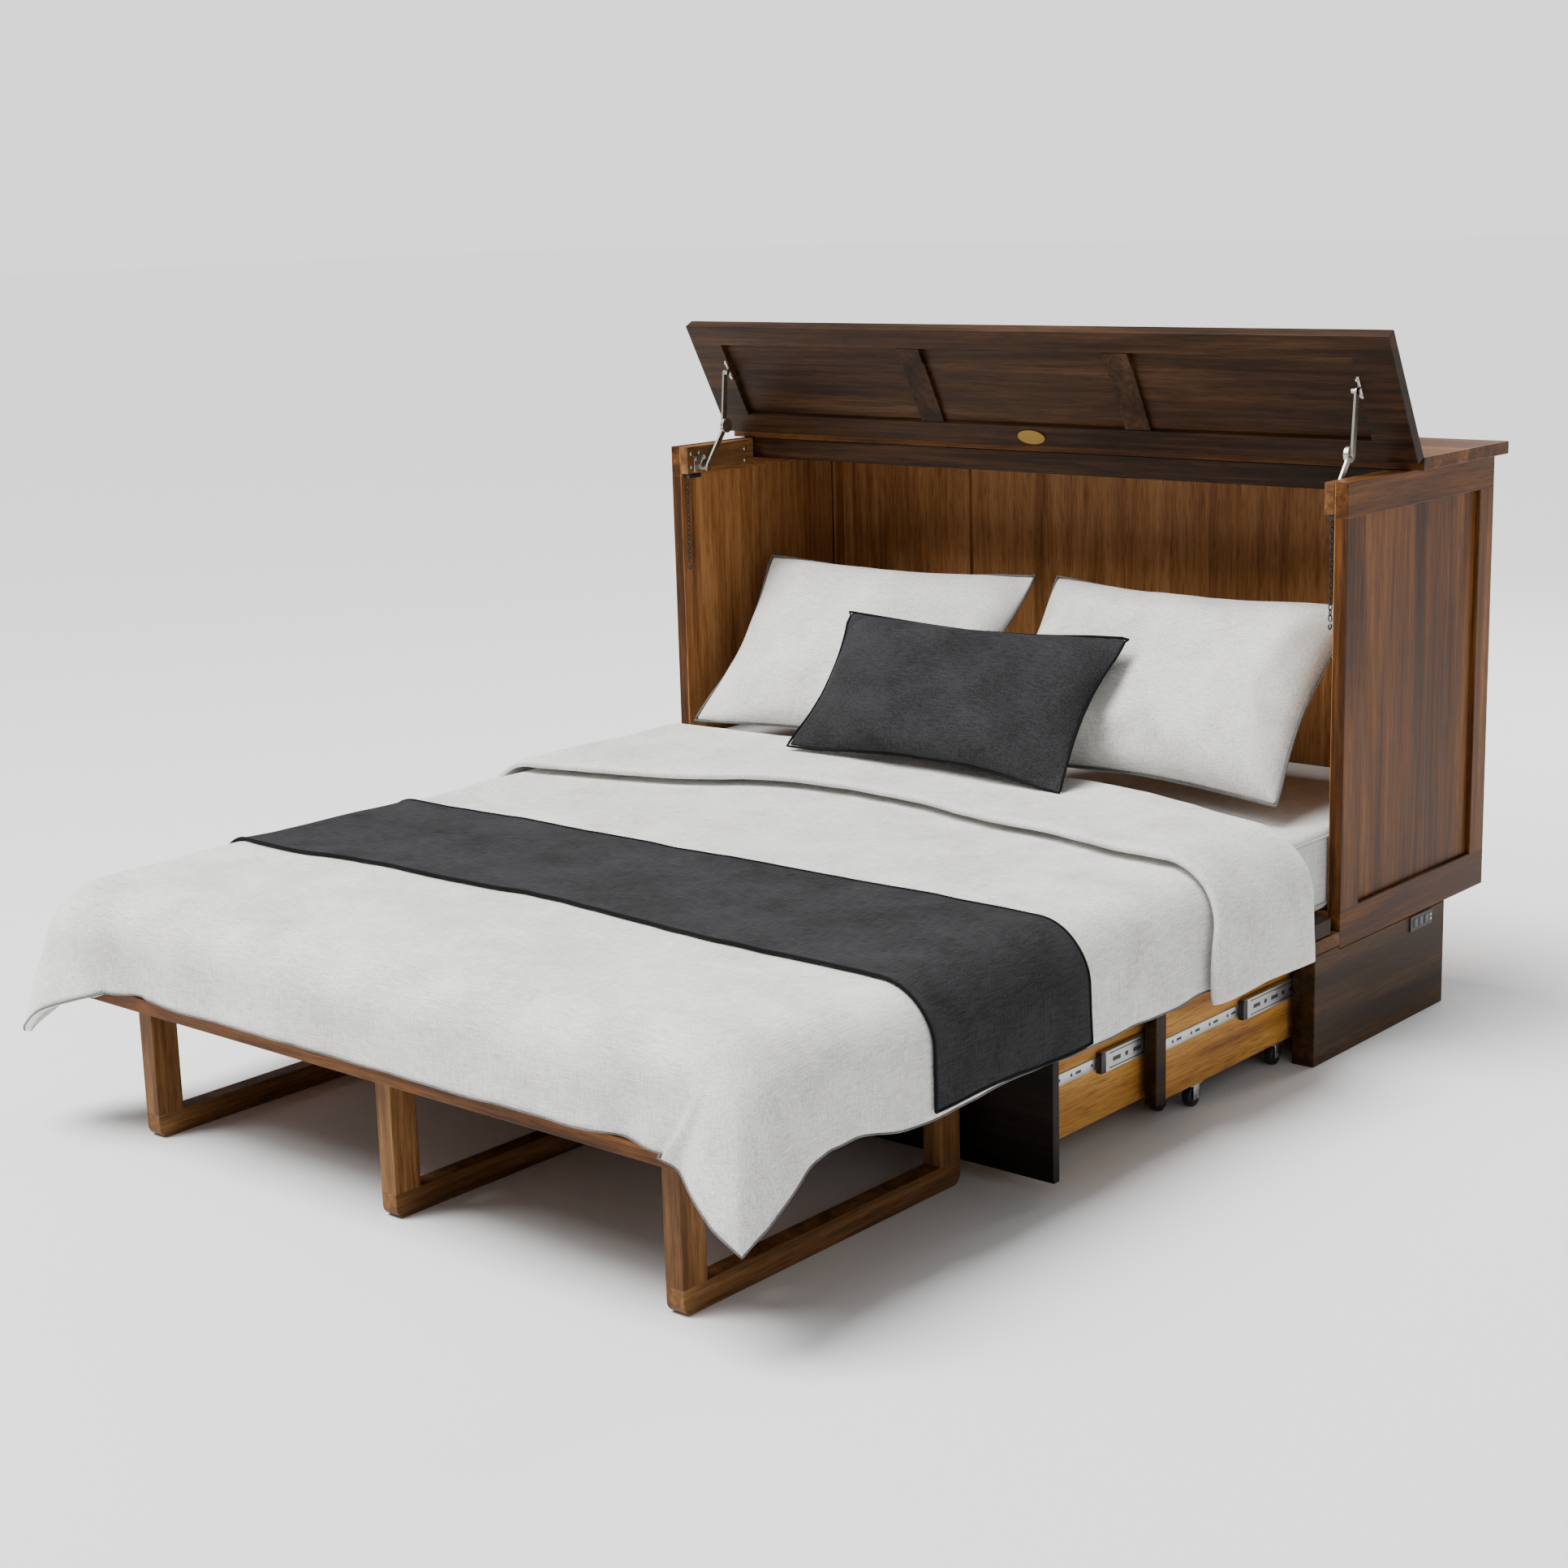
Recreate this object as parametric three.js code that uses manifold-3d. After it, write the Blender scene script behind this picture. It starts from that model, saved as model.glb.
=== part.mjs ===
// Cabinet bed, shown open: a low cabinet whose front folds down into a bed platform.
// Millimetres, +Z up. +X is the bed's right side seen from the foot, -Y is the foot end.
// Inside the group, Y = 0 is the cabinet's rear plane and Z = 0 is the floor.
import * as THREE from "three";
import * as BufferGeometryUtils from "three/addons/utils/BufferGeometryUtils.js";
import Module from "manifold-3d";

const wasm = await Module();
wasm.setup();

// ---- driving dimensions ----
const ORIGIN_BACK = 1080; // from the frame's origin back to the cabinet's rear plane
const GAP = 0.3; // clearance between touching pieces
const EDGE = 1.6; // eased edge on every board

const CABINET_HALF = 792; // half the width over the side frames
const SIDE_THICK = 26;
const SIDE_FRONT = -557.3; // front edge of the side frames
const SIDE_LOW = 198.6; // side frames stand on the base here
const SIDE_HIGH = 1027.3;
const STILE = 66;
const REAR_STILE = 56;
const RAIL = 62;
const INNER = CABINET_HALF - SIDE_THICK; // inner face of the side frames

const TOP_HALF = 816.5;
const TOP_REAR = 4;
const TOP_SURFACE = 1051.4;
const TOP_THICK = 23.7;
const TOP_FRONT = -329.5;

const BASE_THICK = 44;
const BASE_FRONT = -643.6;
const BASE_REAR = -155.4; // set back so that the cabinet clears a skirting board
const BASE_INNER = CABINET_HALF - BASE_THICK;
const LEDGE_FRONT = -660;
const LEDGE_TOP = 231;
const LEDGE_THICK = 26;

const PLATFORM_TOP = 263; // what the mattress lies on
const PLATFORM_THICK = 26;

const LID_AXIS = { y: -332.5, z: 1048.4 };
const LID_OPEN_DEG = 62.1;
const LID_DEPTH = 262;
const LID_TOP = TOP_SURFACE - LID_AXIS.z;
const LID_LOW = LID_TOP - TOP_THICK;
const LID_STILE = 81;
const LID_RAIL = 44;
const BATTEN_CENTRE = 244;
const BATTEN_WIDTH = 57;

const FRONT_AXIS = { y: -587, z: 234 }; // the cabinet front folds about this line
const FRONT_END = -1378; // free edge of the cabinet front, lying flat
const FRONT_HALF = 791;
const FRONT_LOW = 233;
const SEAM = { y: -1378.75, z: 264 }; // the foot panel folds about this line
const FOOT_END = -2137.6;
const FOOT_HALF = 764;
const RELIEF = { width: 26, length: 270 }; // corner relief for the cleats and chains

const LEG = { x: 605, thick: 34, front: -2102, rear: -1456, post: 52, foot: 41, top: 10, round: 18 };

const DRAWER_HALF = 787;
const DRAWER_FACE = -1437.6;
const DRAWER_FACE_THICK = 17.6;
const DRAWER_FACE_LOW = 30;
const DRAWER_FACE_HIGH = 230;
const BOX = { outer: 707, wall: 15, rear: -965, low: 46, high: 190, floor: 9 };
const CARRIAGE = { outer: 735, wall: 15, front: -1078, rear: -616, low: 42, high: 202 };
const POST = { depth: 31, proud: 8 };
const RUNNER = { high: 36, thick: 9 };
const BASE_RUNNER = { inner: 737, front: -803, length: 400, z: 139 };
const BOX_RUNNER = { inner: 709, front: -1198, length: 380, z: 146 };
const WHEEL = { radius: 19, width: 15 };
const WHEEL_SPOTS = {
  drawer: { x: 690, y: -989 },
  carriage_front: { x: 722, y: -936 },
  carriage_rear: { x: 722, y: -666 },
};

const MATTRESS_HALF = 762;
const MATTRESS_HEAD = -93;
const MATTRESS_FOLD = -1448; // where the foot third folds
const MATTRESS_FOOT = -2125.6;
const MATTRESS_TOP = 415;
const DUVET = { half: 818, shoulder: { x: 790, z: 380 }, top: 440, low: 238, head: -640, foot: -2164 };
const DRAPE_INNER = 793.6; // inside of the duvet where it hangs beside the platform
const CORNER = { half: 848, low: 165, high: 330 }; // the duvet's two hanging foot corners
const THROW = { head: -1378, foot: -1772, lift: 0.5, thick: 7.5, low: 255 };
const PILLOW = { width: 702, height: 450, thick: 130, y: -455, z: 617, left: -369, right: 351.5 };
const LUMBAR = { width: 690, height: 340, thick: 100, x: 0, y: -639, z: 591 };
const LEAN_DEG = 41; // pillows lean back by this much from upright

// ---- materials ----
const finish = (color, roughness, metalness = 0) =>
  new THREE.MeshStandardMaterial({ color, roughness, metalness });
const WALNUT = finish(0x4a3425, 0.45);
const WARM_WALNUT = finish(0x74431f, 0.45);
const DRAWER_WOOD = finish(0xa8722f, 0.5);
const NICKEL = finish(0xb9b4a8, 0.3, 1);
const STEEL = finish(0xa9a9a6, 0.35, 1);
const BLACK = finish(0x151515, 0.5);
const BRASS = finish(0x9a7a3c, 0.35, 1);
const FOAM = finish(0xb9b9b8, 0.9);
const LINEN = finish(0xc9c9c8, 0.95);
const CHARCOAL = finish(0x2d2e31, 0.95);

const bed = new THREE.Group();
bed.position.y = ORIGIN_BACK;

// ---- helpers ----
const AXES = {
  x: [new THREE.Vector3(0, 1, 0), new THREE.Vector3(0, 0, 1), new THREE.Vector3(1, 0, 0)],
  y: [new THREE.Vector3(1, 0, 0), new THREE.Vector3(0, 0, 1), new THREE.Vector3(0, -1, 0)],
  z: [new THREE.Vector3(1, 0, 0), new THREE.Vector3(0, 1, 0), new THREE.Vector3(0, 0, 1)],
};

// An outline as [u, v] points. Across x it is (y, z), across y it is (x, z), across z it is (x, y).
function extrude(outline, holes, axis, from, to, edge = EDGE) {
  const shape = new THREE.Shape(outline.map(([u, v]) => new THREE.Vector2(u, v)));
  for (const hole of holes) {
    shape.holes.push(new THREE.Path(hole.map(([u, v]) => new THREE.Vector2(u, v))));
  }
  const geometry = new THREE.ExtrudeGeometry(shape, {
    depth: to - from - 2 * edge,
    bevelEnabled: edge > 0,
    bevelThickness: edge,
    bevelSize: edge,
    bevelOffset: -edge,
    bevelSegments: 2,
    curveSegments: 8,
  });
  geometry.translate(0, 0, edge);
  const [u, v, w] = AXES[axis];
  geometry.applyMatrix4(new THREE.Matrix4().makeBasis(u, v, w));
  const shift = { x: [from, 0, 0], y: [0, to, 0], z: [0, 0, from] }[axis];
  return geometry.translate(...shift);
}

const rect = (u0, u1, v0, v1) => [[u0, v0], [u1, v0], [u1, v1], [u0, v1]];

function add(name, geometry, material, parent = bed) {
  const mesh = new THREE.Mesh(geometry, material);
  mesh.name = name;
  parent.add(mesh);
  return mesh;
}

function board(name, material, [x0, x1], [y0, y1], [z0, z1], parent = bed, edge = EDGE) {
  const sizes = { x: x1 - x0, y: y1 - y0, z: z1 - z0 };
  const thin = Object.keys(sizes).reduce((a, b) => (sizes[a] <= sizes[b] ? a : b));
  const flat = {
    x: () => extrude(rect(y0, y1, z0, z1), [], "x", x0, x1, edge),
    y: () => extrude(rect(x0, x1, z0, z1), [], "y", y0, y1, edge),
    z: () => extrude(rect(x0, x1, y0, y1), [], "z", z0, z1, edge),
  };
  return add(name, flat[thin](), material, parent);
}

function solid(geometry) {
  const bare = geometry.clone();
  bare.deleteAttribute("normal");
  bare.deleteAttribute("uv");
  const merged = BufferGeometryUtils.mergeVertices(bare, 1e-4);
  const mesh = new wasm.Mesh({
    numProp: 3,
    vertProperties: new Float32Array(merged.attributes.position.array),
    triVerts: new Uint32Array(merged.index.array),
  });
  return new wasm.Manifold(mesh);
}

function toGeometry(body) {
  const mesh = body.getMesh();
  const geometry = new THREE.BufferGeometry();
  geometry.setAttribute("position", new THREE.BufferAttribute(mesh.vertProperties, 3));
  geometry.setIndex(new THREE.BufferAttribute(mesh.triVerts, 1));
  geometry.computeVertexNormals();
  return geometry;
}

const join = (...parts) => toGeometry(parts.map(solid).reduce((a, b) => a.add(b)));
const cut = (whole, ...tools) =>
  toGeometry(tools.map(solid).reduce((a, b) => a.subtract(b), solid(whole)));

// x range of a piece that is mirrored: side is -1 for left and 1 for right
const across = (side, near, far) => (side > 0 ? [near, far] : [-far, -near]);
const SIDES = [["left", -1], ["right", 1]];

// ---- base ----
function buildBase() {
  const shoulder = LEDGE_TOP - LEDGE_THICK - GAP;
  const profile = [
    [BASE_REAR, 0], [BASE_REAR, SIDE_LOW - GAP], [SIDE_FRONT - GAP, SIDE_LOW - GAP],
    [SIDE_FRONT - GAP, shoulder], [BASE_FRONT, shoulder], [BASE_FRONT, 0],
  ];
  for (const [label, side] of SIDES) {
    const [x0, x1] = across(side, BASE_INNER, CABINET_HALF);
    add(`base_side_${label}`, extrude(profile, [], "x", x0, x1), WALNUT);
  }
  const span = [-BASE_INNER + GAP, BASE_INNER - GAP];
  board("base_back", WALNUT, span, [BASE_REAR - 20, BASE_REAR - 2], [0, SIDE_LOW - GAP]);
  board("ledge", WARM_WALNUT, [-CABINET_HALF, CABINET_HALF],
    [LEDGE_FRONT, SIDE_FRONT - GAP], [LEDGE_TOP - LEDGE_THICK, LEDGE_TOP]);
}

// ---- cabinet ----
function buildSides() {
  const window = [SIDE_FRONT + STILE, -REAR_STILE, SIDE_LOW + RAIL + 8, SIDE_HIGH - RAIL];
  for (const [label, side] of SIDES) {
    const [x0, x1] = across(side, INNER, CABINET_HALF);
    const frame = extrude(rect(SIDE_FRONT, 0, SIDE_LOW, SIDE_HIGH), [rect(...window)], "x", x0, x1);
    add(`side_frame_${label}`, frame, WALNUT);
    const [y0, y1, z0, z1] = window;
    board(`side_panel_${label}`, WALNUT, across(side, INNER + 7, CABINET_HALF - 9),
      [y0 + GAP, y1 - GAP], [z0 + GAP, z1 - GAP], bed, 1);
    board(`cleat_${label}`, WARM_WALNUT, across(side, INNER - 20, INNER - GAP),
      [SIDE_FRONT, SIDE_FRONT + 209], [971, SIDE_HIGH - GAP]);
  }
}

function buildBack() {
  const half = INNER - GAP;
  const low = SIDE_LOW;
  const outline = rect(-half, half, low, SIDE_HIGH - GAP);
  const pockets = [[-736, -472], [-412, 412], [472, 736]].map(([x0, x1]) =>
    extrude(rect(x0, x1, low + 66, SIDE_HIGH - 44), [], "y", -40, -18, 0));
  add("back_board", cut(extrude(outline, [], "y", -26, -2), ...pockets), WARM_WALNUT);
}

function buildPlatformHead() {
  const half = INNER - 0.6;
  const leg = BASE_INNER + GAP;
  const under = PLATFORM_TOP - PLATFORM_THICK;
  const profile = [
    [-half, SIDE_LOW], [-leg, SIDE_LOW], [-leg, under], [leg, under],
    [leg, SIDE_LOW], [half, SIDE_LOW], [half, PLATFORM_TOP], [-half, PLATFORM_TOP],
  ];
  add("head_platform", extrude(profile, [], "y", -556, -27), WARM_WALNUT);
}

function buildTop() {
  board("fixed_top", WALNUT, [-TOP_HALF, TOP_HALF], [TOP_FRONT, TOP_REAR],
    [TOP_SURFACE - TOP_THICK, TOP_SURFACE]);
  board("top_front_rail", WALNUT, [-INNER + GAP, INNER - GAP], [-330, -306], [985, SIDE_HIGH]);
  const barrel = new THREE.CylinderGeometry(2.4, 2.4, 2 * TOP_HALF - 30, 12).rotateZ(Math.PI / 2);
  barrel.translate(0, LID_AXIS.y, LID_AXIS.z);
  add("lid_hinge", barrel, BRASS);
  const outletFace = [CABINET_HALF + GAP, CABINET_HALF + 3];
  board("power_outlet", BLACK, outletFace, [-294, -210], [168, 196], bed, 0.5);
}

// ---- lid ----
function buildLid() {
  const lid = new THREE.Group();
  lid.position.set(0, LID_AXIS.y, LID_AXIS.z);
  lid.rotation.x = THREE.MathUtils.degToRad(-LID_OPEN_DEG);
  bed.add(lid);
  const window = [-TOP_HALF + LID_STILE, TOP_HALF - LID_STILE, -LID_DEPTH + LID_RAIL, -3 - LID_RAIL];
  const [x0, x1, y0, y1] = window;
  const frame = extrude(rect(-TOP_HALF, TOP_HALF, -LID_DEPTH, -3), [rect(...window)], "z", LID_LOW, LID_TOP);
  add("lid_frame", frame, WALNUT, lid);
  board("lid_panel", WALNUT, [x0 + GAP, x1 - GAP], [y0 + GAP, y1 - GAP], [LID_TOP - 12, LID_TOP - 1], lid, 1);
  const under = LID_TOP - 12 - GAP;
  const step = under - 8;
  const profile = [
    [y0 + 0.5, LID_LOW], [y0 + 36, LID_LOW], [y0 + 36, step], [y1 - 0.5, step],
    [y1 - 0.5, under], [y0 + 0.5, under],
  ];
  for (const [label, side] of SIDES) {
    const middle = side * BATTEN_CENTRE;
    const shape = extrude(profile, [], "x", middle - BATTEN_WIDTH / 2, middle + BATTEN_WIDTH / 2, 1);
    add(`lid_batten_${label}`, shape, WALNUT, lid);
  }
  const plate = new THREE.CylinderGeometry(1, 1, 2, 32).rotateX(Math.PI / 2);
  plate.scale(32, 16, 1).translate(-7, -24, LID_LOW - 1 - GAP);
  add("lid_badge", plate, BRASS, lid);
  return lid;
}

// ---- lid stays: two arms on each side, folding at an elbow ----
const STAY_LOW = { y: -511, z: 980 };
const STAY_LID = { y: -160, z: LID_LOW - 14 }; // in the closed lid's own axes
const LOWER_ARM = 105;
const UPPER_ARM = 110;

function rotated(point, degrees) {
  const a = THREE.MathUtils.degToRad(degrees);
  return {
    y: point.y * Math.cos(a) - point.z * Math.sin(a),
    z: point.y * Math.sin(a) + point.z * Math.cos(a),
  };
}

function elbow(from, to) {
  const dy = to.y - from.y;
  const dz = to.z - from.z;
  const span = Math.hypot(dy, dz);
  const along = (LOWER_ARM ** 2 - UPPER_ARM ** 2 + span ** 2) / (2 * span);
  const off = Math.sqrt(LOWER_ARM ** 2 - along ** 2);
  return {
    y: from.y + (dy * along + dz * off) / span,
    z: from.z + (dz * along - dy * off) / span,
  };
}

// A flat bar from a to b, with round ends, in the plane across x.
function bar(a, b, half, x0, x1) {
  const angle = Math.atan2(b.z - a.z, b.y - a.y);
  const outline = [];
  for (const [centre, start] of [[b, angle - Math.PI / 2], [a, angle + Math.PI / 2]]) {
    for (let i = 0; i <= 8; i += 1) {
      const t = start + (Math.PI * i) / 8;
      outline.push([centre.y + half * Math.cos(t), centre.z + half * Math.sin(t)]);
    }
  }
  return extrude(outline, [], "x", x0, x1, 0.8);
}

function buildStays() {
  const turned = rotated(STAY_LID, -LID_OPEN_DEG);
  const top = { y: LID_AXIS.y + turned.y, z: LID_AXIS.z + turned.z };
  const knee = elbow(STAY_LOW, top);
  for (const [label, side] of SIDES) {
    const lower = across(side, 732, 737);
    const upper = across(side, 737.6, 742);
    const disc = new THREE.CylinderGeometry(15, 15, 8, 24).rotateZ(Math.PI / 2);
    disc.translate(side * 733, knee.y, knee.z);
    add(`stay_lower_${label}`, join(bar(STAY_LOW, knee, 6, ...lower), disc), NICKEL);
    add(`stay_upper_${label}`, bar(top, knee, 6.5, ...upper), NICKEL);
  }
}

// ---- safety chains, hanging from the cleats ----
function buildChains() {
  const profile = [[0, 0], [5, 1], [6, 8], [4, 14]];
  for (let z = 14; z < 182; z += 21) profile.push([3.4, z + 7], [2.6, z + 10.5], [3.4, z + 14]);
  profile.push([3, 190], [0, 190]);
  const points = profile.map(([r, z]) => new THREE.Vector2(r, z));
  for (const [label, side] of SIDES) {
    const geometry = new THREE.LatheGeometry(points, 8).rotateX(Math.PI / 2);
    geometry.translate(side * 757, -549, 769);
    add(`chain_${label}`, geometry, BLACK);
  }
}

// ---- fold-out platform ----
function buildFrontPanel() {
  const start = FRONT_AXIS.y - 1;
  const profile = [
    [start, FRONT_LOW], [start, PLATFORM_TOP], [FRONT_END, PLATFORM_TOP],
    [FRONT_END, PLATFORM_TOP - 14], [FRONT_END + 30, FRONT_LOW],
  ];
  add("front_panel", extrude(profile, [], "x", -FRONT_HALF, FRONT_HALF), WALNUT);
}

function buildFootPanel() {
  const near = SEAM.y - 0.75;
  const inner = FOOT_HALF - RELIEF.width;
  const outline = [
    [-FOOT_HALF, FOOT_END], [FOOT_HALF, FOOT_END], [FOOT_HALF, near - RELIEF.length],
    [inner, near - RELIEF.length], [inner, near], [-inner, near],
    [-inner, near - RELIEF.length], [-FOOT_HALF, near - RELIEF.length],
  ];
  const under = PLATFORM_TOP - PLATFORM_THICK;
  add("foot_panel", extrude(outline, [], "z", under, PLATFORM_TOP), WARM_WALNUT);
}

function legOutline() {
  const top = PLATFORM_TOP - PLATFORM_THICK - GAP;
  const points = [[LEG.rear, top], [LEG.front, top]];
  const corners = [[LEG.front + LEG.round, Math.PI], [LEG.rear - LEG.round, 1.5 * Math.PI]];
  for (const [y, start] of corners) {
    for (let i = 0; i <= 6; i += 1) {
      const t = start + (Math.PI / 2) * (i / 6);
      points.push([y + LEG.round * Math.cos(t), LEG.round + LEG.round * Math.sin(t)]);
    }
  }
  const hole = rect(LEG.front + LEG.post, LEG.rear - LEG.post, LEG.foot, top - LEG.top);
  return { points, hole };
}

function buildLegs() {
  const { points, hole } = legOutline();
  for (const [label, x] of [["left", -LEG.x], ["centre", 0], ["right", LEG.x]]) {
    const loop = extrude(points, [hole], "x", x - LEG.thick / 2, x + LEG.thick / 2);
    add(`leg_loop_${label}`, loop, WARM_WALNUT);
  }
}

// ---- drawer, and the carriage that it slides out of ----
function buildDrawer() {
  const back = DRAWER_FACE + DRAWER_FACE_THICK;
  board("drawer_front", WALNUT, [-DRAWER_HALF, DRAWER_HALF], [DRAWER_FACE, back],
    [DRAWER_FACE_LOW, DRAWER_FACE_HIGH]);
  const inner = BOX.outer - BOX.wall;
  for (const [label, side] of SIDES) {
    board(`drawer_side_${label}`, DRAWER_WOOD, across(side, inner, BOX.outer),
      [back + GAP, BOX.rear], [BOX.low, BOX.high]);
  }
  board("drawer_back", DRAWER_WOOD, [-inner + GAP, inner - GAP],
    [BOX.rear - BOX.wall, BOX.rear], [BOX.low, BOX.high]);
  board("drawer_bottom", DRAWER_WOOD, [-inner + GAP, inner - GAP],
    [back + GAP, BOX.rear - BOX.wall - GAP], [BOX.low, BOX.low + BOX.floor]);
}

function buildCarriage() {
  const inner = CARRIAGE.outer - CARRIAGE.wall;
  for (const [label, side] of SIDES) {
    const [x0, x1] = across(side, inner, CARRIAGE.outer);
    const wall = extrude(rect(CARRIAGE.front + 1, CARRIAGE.rear, CARRIAGE.low, CARRIAGE.high), [], "x", x0, x1);
    const [p0, p1] = across(side, inner, CARRIAGE.outer + POST.proud);
    const ends = rect(CARRIAGE.front, CARRIAGE.front + POST.depth, CARRIAGE.low, CARRIAGE.high);
    add(`carriage_side_${label}`, join(wall, extrude(ends, [], "x", p0, p1)), DRAWER_WOOD);
  }
  board("carriage_rail", DRAWER_WOOD, [-inner + GAP, inner - GAP],
    [CARRIAGE.rear - 18, CARRIAGE.rear], [CARRIAGE.low + 3, CARRIAGE.high - 12]);
}

function buildRunners() {
  for (const [label, side] of SIDES) {
    for (const [name, spot] of [["base_runner", BASE_RUNNER], ["box_runner", BOX_RUNNER]]) {
      const low = spot.z - RUNNER.high / 2;
      board(`${name}_${label}`, STEEL, across(side, spot.inner, spot.inner + RUNNER.thick),
        [spot.front, spot.front + spot.length], [low, low + RUNNER.high], bed, 1);
    }
  }
}

function buildWheels() {
  const r = WHEEL.radius;
  const half = WHEEL.width / 2;
  const profile = [[0, -half], [r - 7, -half], [r - 5, -half + 2], [r - 3, -half], [r - 0.8, -half + 0.6]];
  profile.push([r, -half + 3]);
  const mirrored = profile.map(([radius, z]) => [radius, -z]).reverse();
  const points = [...profile, ...mirrored].map(([radius, z]) => new THREE.Vector2(radius, z));
  for (const [label, side] of SIDES) {
    for (const [name, spot] of Object.entries(WHEEL_SPOTS)) {
      const geometry = new THREE.LatheGeometry(points, 24).rotateZ(Math.PI / 2);
      geometry.translate(side * spot.x, spot.y, r);
      add(`wheel_${name}_${label}`, geometry, BLACK);
    }
  }
}

// ---- bedding: plain solids of the right size ----
function buildMattress() {
  const half = MATTRESS_HALF;
  const z = [PLATFORM_TOP + 0.6, MATTRESS_TOP];
  board("mattress_main", FOAM, [-half, half], [MATTRESS_FOLD, MATTRESS_HEAD], z, bed, 12);
  board("mattress_foot", FOAM, [-half, half], [MATTRESS_FOOT, MATTRESS_FOLD - 0.6], z, bed, 12);
}

// The duvet's outer line from its left hem over the top to its right hem, moved out by an offset.
function coverLine(offset, low) {
  const half = DUVET.half + offset;
  const { x, z } = DUVET.shoulder;
  const right = [[x + 0.64 * offset, DUVET.top + offset], [half, z + 0.22 * offset], [half, low]];
  return [...right.map(([u, v]) => [-u, v]).reverse(), ...right];
}

function buildDuvet() {
  const bedside = MATTRESS_HALF + 1.5;
  const lining = [
    [DRAPE_INNER, DUVET.low], [DRAPE_INNER, PLATFORM_TOP + 1.5], [bedside, PLATFORM_TOP + 1.5],
    [bedside, MATTRESS_TOP + 0.6],
  ];
  const inner = [...lining, ...lining.map(([u, v]) => [-u, v]).reverse()];
  const section = [...coverLine(0, DUVET.low), ...inner];
  add("duvet_upper", extrude(section, [], "y", MATTRESS_FOLD + GAP, DUVET.head, 2), LINEN);

  const foot = extrude(section, [], "y", FOOT_END - 10, MATTRESS_FOLD - GAP, 2);
  const half = [
    [560, PLATFORM_TOP + 5], [790, CORNER.low - 5], [CORNER.half, CORNER.low],
    [CORNER.half, CORNER.high], [800, DUVET.top],
  ];
  const wall = [...half, ...half.map(([u, v]) => [-u, v]).reverse()];
  const end = extrude(wall, [], "y", DUVET.foot, FOOT_END - 1.4, 2);
  const corners = SIDES.map(([, side]) => {
    const [x0, x1] = across(side, DRAPE_INNER, CORNER.half);
    return extrude(rect(x0, x1, CORNER.low, CORNER.high), [], "y", DUVET.foot + 5, FOOT_END + 80, 2);
  });
  add("duvet_foot", join(foot, end, ...corners), LINEN);
}

function buildThrow() {
  const outer = coverLine(THROW.lift + THROW.thick, THROW.low);
  const inner = coverLine(THROW.lift, THROW.low).reverse();
  add("throw_blanket", extrude([...outer, ...inner], [], "y", THROW.foot, THROW.head, 1), CHARCOAL);
}

// A pillow standing on its long edge and leaning back.
function cushion(name, material, { width, height, thick }, [x, y, z]) {
  const outline = rect(-width / 2, width / 2, -height / 2, height / 2);
  const shape = extrude(outline, [], "y", -thick / 2, thick / 2, thick * 0.3);
  const mesh = add(name, shape, material);
  mesh.position.set(x, y, z);
  mesh.rotation.x = THREE.MathUtils.degToRad(-LEAN_DEG);
}

function buildPillows() {
  cushion("pillow_left", LINEN, PILLOW, [PILLOW.left, PILLOW.y, PILLOW.z]);
  cushion("pillow_right", LINEN, PILLOW, [PILLOW.right, PILLOW.y, PILLOW.z]);
  cushion("lumbar_cushion", CHARCOAL, LUMBAR, [LUMBAR.x, LUMBAR.y, LUMBAR.z]);
}

buildBase();
buildSides();
buildBack();
buildPlatformHead();
buildTop();
buildLid();
buildStays();
buildChains();
buildFrontPanel();
buildFootPanel();
buildLegs();
buildDrawer();
buildCarriage();
buildRunners();
buildWheels();
buildMattress();
buildDuvet();
buildThrow();
buildPillows();

export default bed;
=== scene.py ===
"""Looks for the cabinet bed: materials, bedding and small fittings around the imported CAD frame."""
import math

import bmesh
import bpy
from mathutils import Matrix, Vector, noise
from mathutils.kdtree import KDTree


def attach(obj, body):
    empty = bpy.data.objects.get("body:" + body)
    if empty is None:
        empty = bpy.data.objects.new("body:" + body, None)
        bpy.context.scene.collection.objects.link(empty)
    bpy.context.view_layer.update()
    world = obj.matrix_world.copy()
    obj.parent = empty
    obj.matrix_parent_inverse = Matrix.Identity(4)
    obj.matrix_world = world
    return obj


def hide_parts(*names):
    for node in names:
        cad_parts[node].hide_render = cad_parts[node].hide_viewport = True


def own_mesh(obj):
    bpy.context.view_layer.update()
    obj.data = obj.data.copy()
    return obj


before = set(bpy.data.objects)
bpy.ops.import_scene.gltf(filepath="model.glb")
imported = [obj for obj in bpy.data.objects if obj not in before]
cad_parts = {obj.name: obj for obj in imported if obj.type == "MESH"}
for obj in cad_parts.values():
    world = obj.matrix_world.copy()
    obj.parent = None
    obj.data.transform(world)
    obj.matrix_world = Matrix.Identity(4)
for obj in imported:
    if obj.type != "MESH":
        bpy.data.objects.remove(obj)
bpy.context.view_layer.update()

# ---- positions: cabinet millimetres (Y = 0 is the cabinet's rear plane) to the frame's metres ----
ORIGIN_BACK = 1080
MM = 0.001
X, Y, Z = 0, 1, 2
SIDES = (("left", -1), ("right", 1))


def at(x, y, z):
    return Vector((x * MM, (y + ORIGIN_BACK) * MM, z * MM))


# ---- camera ----
CAMERA_ANGLES = (40.94, 12.65, -1.625)  # azimuth, elevation and roll in degrees
CAMERA_PLACE = (2.9876, -3.5034, 1.5337)
CAMERA_LENS = 60.17
SENSOR_WIDTH = 36


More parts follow.
